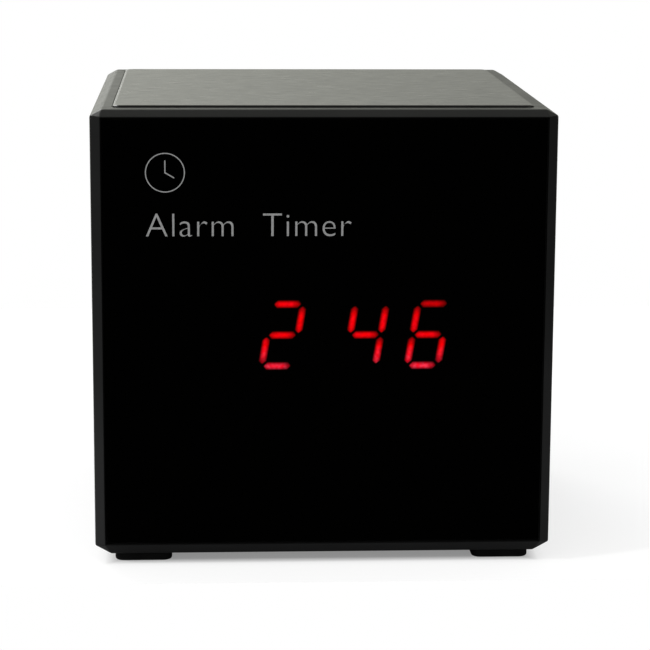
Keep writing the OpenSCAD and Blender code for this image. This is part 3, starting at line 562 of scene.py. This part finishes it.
def return_springs():
    """Four coils on the guide pins, at their rest height."""
    low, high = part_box("snooze_springs")
    wire, mean, travel = 0.4 * MM, 4.4 * MM, 0.5 * MM
    turns, steps, sides = 3, 26, 8
    pin_x = high.x - (mean + wire) / 2
    pin_y = high.y - (mean + wire) / 2
    rise = high.z - low.z - wire
    bm = bmesh.new()
    for sx in (-1, 1):
        for sy in (-1, 1):
            path = []
            for i in range(turns * steps + 1):
                a = 2 * math.pi * i / steps
                t = i / (turns * steps)
                x = sx * pin_x + mean / 2 * math.cos(a)
                y = sy * pin_y + mean / 2 * math.sin(a)
                path.append(Vector((x, y, low.z + wire / 2 + rise * t)))
            tube(bm, path, wire / 2, sides)
    bmesh.ops.recalc_face_normals(bm, faces=bm.faces)
    piece = add_piece("return_springs", bm, steel, "case")
    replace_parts(piece, "snooze_springs")
    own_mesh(piece)


def ribbon_cable():
    """Flat cable with a ridge over each conductor, bent from the display board down to the main board."""
    low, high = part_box("display_ribbon")
    thick, bend, bend_steps = 0.3 * MM, 2.5 * MM, 12
    cores, core_steps = 12, 6
    # Half the film's thickness between the conductors, and what a ridge adds to it
    valley, swell = 0.28 * thick, 0.22 * thick
    width = high.x - low.x
    path = [Vector((0, low.y + thick / 2, high.z))]
    middle = Vector((0, low.y + bend, low.z + bend))
    for i in range(bend_steps + 1):
        a = math.pi + math.pi / 2 * i / bend_steps
        path.append(middle + (bend - thick / 2) * Vector((0, math.cos(a), math.sin(a))))
    path.append(Vector((0, high.y, low.z + thick / 2)))
    across = []
    steps = cores * core_steps
    for i in range(steps + 1):
        ridge = 0.5 - 0.5 * math.cos(2 * math.pi * i / core_steps)
        across.append((-width / 2 + width * i / steps, valley + swell * ridge))
    bm = bmesh.new()
    rows = []
    for i, p in enumerate(path):
        ahead = heading(path, i)
        out = Vector((0, ahead.z, -ahead.y))
        row = [bm.verts.new(p + Vector((x, 0, 0)) + out * h) for x, h in across]
        row += [bm.verts.new(p + Vector((x, 0, 0)) - out * h) for x, h in reversed(across)]
        rows.append(row)
    bridge(bm, rows)
    bmesh.ops.recalc_face_normals(bm, faces=bm.faces)
    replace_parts(add_piece("ribbon_cable", bm, ribbon_film, "case"), "display_ribbon")


def bar_glow(t, across, run):
    """Glow of a bar at a point: t from tip (0) to tip (3), across from rim (0) to middle (1), and
    run from end (-1) to end (1)."""
    dark_tip, tip_fade = 0.2, 0.35
    rim, fall = 0.03, 1.3
    shift, even, end_fade = 0.12, 0.4, 0.85
    tip = min(1.0, max(0.0, (min(t, 3 - t) - dark_tip) / tip_fade))
    ends = max(0.0, 1 - max(0.0, abs(run + shift) - even) / end_fade)
    return tip * (rim + (1 - rim) * math.sin(across * math.pi / 2) ** fall) * ends ** fall


def glowing_bars():
    """The lit segments again as fine grids, each with how brightly it glows kept on its points."""
    source = clean_copy("lit_segments")
    depth, rows = 0.3 * MM, 10
    end_steps, side_steps = 8, 10
    # One level bar, the upper one of the last digit, is dimmer than the others
    dim_bar, dim_right_of, dim_above = 0.6, 10 * MM, 44 * MM
    back_share = 0.5
    bm = bmesh.new()
    glow = bm.verts.layers.float.new("glow")
    steps = [i / end_steps for i in range(end_steps)]
    steps += [1 + i / side_steps for i in range(side_steps + 1)]
    steps += [2 + i / end_steps for i in range(1, end_steps + 1)]

    def along(points, t):
        i = min(int(t), 2)
        return points[i].lerp(points[i + 1], t - i)

    for face in [f for f in source.faces if f.normal.y < -0.9]:
        loop = [v.co.copy() for v in face.verts]
        far = max(range(6), key=lambda i: (loop[i] - loop[(i + 3) % 6]).length)
        loop = loop[far:] + loop[:far]
        one = [loop[0], loop[1], loop[2], loop[3]]
        two = [loop[0], loop[5], loop[4], loop[3]]
        length = (loop[3] - loop[0]).length
        middle = (loop[0] + loop[3]) / 2
        axis = (loop[3] - loop[0]).normalized()
        level = abs(axis.x) > abs(axis.z)
        if level and axis.x < 0:
            axis = -axis
        share = dim_bar if level and middle.x > dim_right_of and middle.z > dim_above else 1.0
        grid = []
        for t in steps:
            a, b = along(one, t), along(two, t)
            column = []
            for k in range(rows + 1):
                v = bm.verts.new(a.lerp(b, k / rows))
                across = 1 - abs(2 * k / rows - 1)
                run = (v.co - middle).dot(axis) / length * 2
                v[glow] = share * bar_glow(t, across, run)
                column.append(v)
            grid.append(column)
        for c, d in zip(grid, grid[1:]):
            for k in range(rows):
                bm.faces.new((c[k], d[k], d[k + 1], c[k + 1]))
        rim = [c[0] for c in grid] + [c[-1] for c in reversed(grid)]
        back = []
        for v in rim:
            w = bm.verts.new(v.co + Vector((0, depth, 0)))
            w[glow] = v[glow] * back_share
            back.append(w)
        for i in range(len(rim)):
            j = (i + 1) % len(rim)
            bm.faces.new((rim[i], rim[j], back[j], back[i]))
        bm.faces.new(back)
    source.free()
    bmesh.ops.remove_doubles(bm, verts=bm.verts, dist=2 * WELD)
    bmesh.ops.recalc_face_normals(bm, faces=bm.faces)
    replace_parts(add_piece("glowing_bars", bm, lit_red, "case"), "lit_segments")


softened("housing", "case_shell", case_plastic, "case",
         edge_mm=0.3, rim_mm=0.05, front_mm=0.14)
softened("rear_cover", "back_cover", case_plastic, "case", edge_mm=0.2, rim_mm=0.15)
softened("snooze_plate", "press_plate", plate_plastic, "snooze", edge_mm=0.06, rim_mm=0)

# The panel's face is set in by a hair, and the print on it fills that depth
INK = 0.012 * MM
panel = softened("front_panel", "smoked_plate", smoked_panel, "case", edge_mm=0.05, rim_mm=0)
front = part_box("front_panel")[0].y
for v in panel.data.vertices:
    v.co.y = max(v.co.y, front + INK)

rubber_feet()
return_springs()
ribbon_cable()
glowing_bars()


# Print: plain shapes a hair thick, on the panel and on the back cover

def flat_shape(bm, points, y, depth):
    """Solid of that depth behind a polygon of (x, z) points at y."""
    face = [bm.verts.new((x * MM, y, z * MM)) for x, z in points]
    back = [bm.verts.new((x * MM, y + depth, z * MM)) for x, z in points]
    bridge(bm, [face, back])


def stroke(bm, points, width, y, depth):
    """Stroke with mitred bends through a few (x, z) points."""
    points = [Vector(p) for p in points]
    left, right = [], []
    for i, p in enumerate(points):
        before = (p - points[i - 1] if i else points[1] - p).normalized()
        after = (points[i + 1] - p).normalized() if i + 1 < len(points) else before
        across = Vector((-before.y - after.y, before.x + after.x)).normalized()
        reach = across * (width / 2 / across.dot(Vector((-before.y, before.x))))
        left.append(tuple(p + reach))
        right.append(tuple(p - reach))
    flat_shape(bm, right + left[::-1], y, depth)


def flat_ring(bm, centre, radius, width, y, depth, steps=64):
    """Ring of that stroke width round an (x, z) point."""
    turns = [2 * math.pi * k / steps for k in range(steps)]
    inner, outer = radius - width / 2, radius + width / 2
    loops = []
    for r, at in ((inner, y), (outer, y), (outer, y + depth), (inner, y + depth)):
        points = [((centre[0] + r * math.cos(a)) * MM, at, (centre[1] + r * math.sin(a)) * MM) for a in turns]
        loops.append([bm.verts.new(point) for point in points])
    bridge(bm, loops + loops[:1], capped=False)


PANEL_PRINT = {
    "y": front, "depth": INK, "turn": 0, "align": "LEFT", "spread": 1.06, "thin": 0.09,
    "material": panel_ink, "slot": "smoked_panel"}
COVER_PRINT = {
    "y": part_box("rear_cover")[1].y, "depth": 0.02 * MM, "turn": 180, "align": "CENTER", "spread": 1.0,
    "thin": 0.0, "material": cover_ink, "slot": "case_plastic"}
# Height of the capitals as a share of the size of the built-in letters
CAP_SHARE = 0.73


def lettering(words, name, x, z, height, print_kind):
    """Words in the built-in letters, with their cap height and baseline in millimetres."""
    curve = bpy.data.curves.new(name, "FONT")
    curve.body = words
    curve.size = height / CAP_SHARE * MM
    curve.extrude = print_kind["depth"] / 2
    curve.align_x = print_kind["align"]
    curve.space_character = print_kind["spread"]
    curve.offset = -print_kind["thin"] * MM
    shape = bpy.data.objects.new(name + "_curve", curve)
    scene.collection.objects.link(shape)
    bpy.context.view_layer.update()
    mesh = bpy.data.meshes.new_from_object(shape.evaluated_get(bpy.context.evaluated_depsgraph_get()))
    bpy.data.objects.remove(shape)
    upright = Matrix.Rotation(math.radians(90), 4, "X")
    turn = Matrix.Rotation(math.radians(print_kind["turn"]), 4, "Z")
    place = Matrix.Translation((x * MM, print_kind["y"] + print_kind["depth"] / 2, z * MM))
    mesh.transform(place @ turn @ upright)
    mesh.materials.clear()
    mesh.materials.append(print_kind["material"])
    piece = bpy.data.objects.new(name, mesh)
    piece.data.name = name
    scene.collection.objects.link(piece)
    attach(piece, "case")


def clock_mark(x, z):
    """Plain clock face: a ring and two hands."""
    radius, ring_width, hand_width = 3.3, 0.18, 0.2
    hands = [(x, z + 2.1), (x, z), (x + 1.55, z - 0.9)]
    y, depth = PANEL_PRINT["y"], PANEL_PRINT["depth"]
    bm = bmesh.new()
    flat_ring(bm, (x, z), radius, ring_width, y, depth)
    stroke(bm, hands, hand_width, y, depth)
    bmesh.ops.recalc_face_normals(bm, faces=bm.faces)
    add_piece("clock_mark", bm, panel_ink, "case")


def middle_x(node):
    low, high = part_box(node)
    return (low.x + high.x) / 2 / MM


def step_mark(name, node, z, upright):
    """Plus or minus sign over a key."""
    x, arm, half = middle_x(node), 0.75, 0.16
    outline = [(-arm, -half), (arm, -half), (arm, half), (-arm, half)]
    if upright:
        outline = [(-arm, -half), (-half, -half), (-half, -arm), (half, -arm), (half, -half), (arm, -half),
                   (arm, half), (half, half), (half, arm), (-half, arm), (-half, half), (-arm, half)]
    bm = bmesh.new()
    flat_shape(bm, [(x + a, z + b) for a, b in outline], COVER_PRINT["y"], COVER_PRINT["depth"])
    bmesh.ops.recalc_face_normals(bm, faces=bm.faces)
    add_piece(name, bm, cover_ink, "case")


# Baselines and cap heights in millimetres
WORD_LINE, WORD_HEIGHT = 58.4, 4.35
LABEL_LINE, RESET_LINE, SIGN_LINE = 19.6, 17.2, 20.35
LABEL_HEIGHT, SMALL_HEIGHT = 1.5, 1.2
clock_mark(-27.25, 69.4)
lettering("Alarm", "print_alarm", -30.7, WORD_LINE, WORD_HEIGHT, PANEL_PRINT)
lettering("Timer", "print_timer", -10.8, WORD_LINE, WORD_HEIGHT, PANEL_PRINT)
lettering("SET", "print_set", middle_x("set_button"), LABEL_LINE, LABEL_HEIGHT, COVER_PRINT)
step_mark("print_up", "up_button", SIGN_LINE, True)
step_mark("print_down", "down_button", SIGN_LINE, False)
lettering("ON  OFF", "print_switch", middle_x("switch_body"), LABEL_LINE, SMALL_HEIGHT, COVER_PRINT)
lettering("RESET", "print_reset", middle_x("reset_plunger"), RESET_LINE, SMALL_HEIGHT, COVER_PRINT)


# Studio

def white_floor():
    """Sheet that keeps the shadow, lifted to white for the camera and reflections. The lift fades out towards
    and under the case, which paints a contact shadow there, and in reflections it also fades out right of the
    case, a painted shade on the shadow side.
    """
    left, right, near, far, level = -0.16, 0.2, -0.05, 0.2, -0.00005
    mesh = bpy.data.meshes.new("floor")
    bm = bmesh.new()
    corners = [(left, near), (right, near), (right, far), (left, far)]
    bm.faces.new([bm.verts.new((x, y, level)) for x, y in corners])
    bm.to_mesh(mesh)
    bm.free()
    p = Paint("floor_white", {"Specular IOR Level": 0.0, "Emission Color": (1, 1, 1, 1)})
    p.tint(p.noise(300), grey(0.33), grey(0.35))
    p.gloss(p.noise(100), 0.85, 0.95)

    def combine(kind, *values):
        return math_node(p.tree, kind, *values)

    def between(value, low, high, start, end):
        return map_range(p.tree, value, low, high, start, end)

    x, y, _ = split(p.tree, p.place)
    spread = combine("MAXIMUM", combine("ABSOLUTE", x), combine("ABSOLUTE", y))
    path = p.tree.nodes.new("ShaderNodeLightPath").outputs
    # For the camera the lift is zero under the case and rises in two steps near its edges: a painted contact
    # shadow round the footprint.
    inner_lift_and_painted_shade = between(spread, 0.026, 0.03, 0, 0.25)
    outer_lift_and_painted_shade = between(spread, 0.0355, 0.0385, 0, 0.425)
    seen = combine("ADD", inner_lift_and_painted_shade, outer_lift_and_painted_shade)
    # In reflections the lift is zero over and just round the case and fades out right of it: painted shade
    # near the case and on its shadow side.
    reflected_lift_and_painted_shade = combine("MULTIPLY", between(spread, 0.042, 0.05, 0, 0.675), between(x, -0.03, 0.06, 1, 0))
    other_rays = combine("MAXIMUM", path["Is Glossy Ray"], path["Is Transmission Ray"])
    camera_lift = combine("MULTIPLY", path["Is Camera Ray"], seen)
    lift = combine("ADD", camera_lift, combine("MULTIPLY", other_rays, reflected_lift_and_painted_shade))
    p.link(lift, p.shader.inputs["Emission Strength"])
    mesh.materials.append(p.material)
    floor = bpy.data.objects.new("floor", mesh)
    scene.collection.objects.link(floor)


def studio_world():
    """White to the camera; for light and reflections, bright behind, above and below, dimmer in front."""
    world = bpy.data.worlds.new("studio")
    world.use_nodes = True
    scene.world = world
    tree = world.node_tree
    tree.nodes.clear()
    link = tree.links.new

    def step(value, low, high, start, end):
        return map_range(tree, value, low, high, start, end, "SMOOTHSTEP")

    def background(strength, colour=(1, 1, 1)):
        node = tree.nodes.new("ShaderNodeBackground")
        node.inputs["Color"].default_value = (*colour, 1)
        if isinstance(strength, float):
            node.inputs["Strength"].default_value = strength
        else:
            link(strength, node.inputs["Strength"])
        return node.outputs[0]

    def mix(factor, a, b):
        node = tree.nodes.new("ShaderNodeMixShader")
        for value, socket in zip((factor, a, b), node.inputs):
            link(value, socket)
        return node.outputs[0]

    x, y, z = split(tree, tree.nodes.new("ShaderNodeTexCoord").outputs["Generated"])
    path = tree.nodes.new("ShaderNodeLightPath").outputs
    behind = math_node(tree, "MULTIPLY", step(y, 0.2, 0.9, 0.0, 1.0), step(x, -0.3, 0.35, 1.1, 0.44))
    around = math_node(tree, "ADD", step(z, 0.3, 0.95, 0.06, 0.7), step(x, -1.0, -0.3, 0.16, 0.0))
    below = step(z, -0.95, -0.5, 0.9, 0.0)
    seen = math_node(tree, "ADD", math_node(tree, "ADD", behind, around), below)
    light = math_node(tree, "ADD", step(y, -0.3, 0.3, 1.0, 0.6), step(z, 0.2, 0.9, 0.0, 0.2))
    shader = mix(path["Is Diffuse Ray"], background(seen, (0.985, 1, 0.9)), background(light))
    shader = mix(path["Is Camera Ray"], shader, background(1.0))
    out = tree.nodes.new("ShaderNodeOutputWorld")
    link(shader, out.inputs["Surface"])


def key_light(name, way, energy, angle):
    """Sun that shines along a direction, as wide as that many degrees."""
    data = bpy.data.lights.new(name, "SUN")
    data.energy = energy
    data.angle = math.radians(angle)
    lamp = bpy.data.objects.new(name, data)
    scene.collection.objects.link(lamp)
    lamp.rotation_mode = "QUATERNION"
    lamp.rotation_quaternion = way.to_track_quat("-Z", "Y")
    lamp.location = -way


def photo_camera():
    """Camera at the photograph's place and angle."""
    place = Vector((-20.31, -435.26, 121.73)) * MM
    ahead = Vector((0.0505, 0.97946, -0.19522)).normalized()
    right = Vector((0.99871, -0.05043, 0.00532)).normalized()
    data = bpy.data.cameras.new("camera")
    data.lens = 129.701
    data.sensor_width = 36
    data.clip_start = 0.02
    data.clip_end = 30
    camera = bpy.data.objects.new("camera", data)
    scene.collection.objects.link(camera)
    up = right.cross(ahead)
    turn = Matrix((right, up, -ahead)).transposed()
    camera.matrix_world = Matrix.Translation(place) @ turn.to_4x4()
    scene.camera = camera


white_floor()
studio_world()
# Two keys from the left, one a little from the front and one from behind: only where both are
# hidden is it shaded
key_light("key_front", Vector((0.937, 0.35, -0.6)), energy=1.2, angle=5)
key_light("key_back", Vector((0.407, -0.914, -0.6)), energy=1.2, angle=28)
photo_camera()
scene.view_settings.view_transform = "Standard"

bpy.context.view_layer.update()
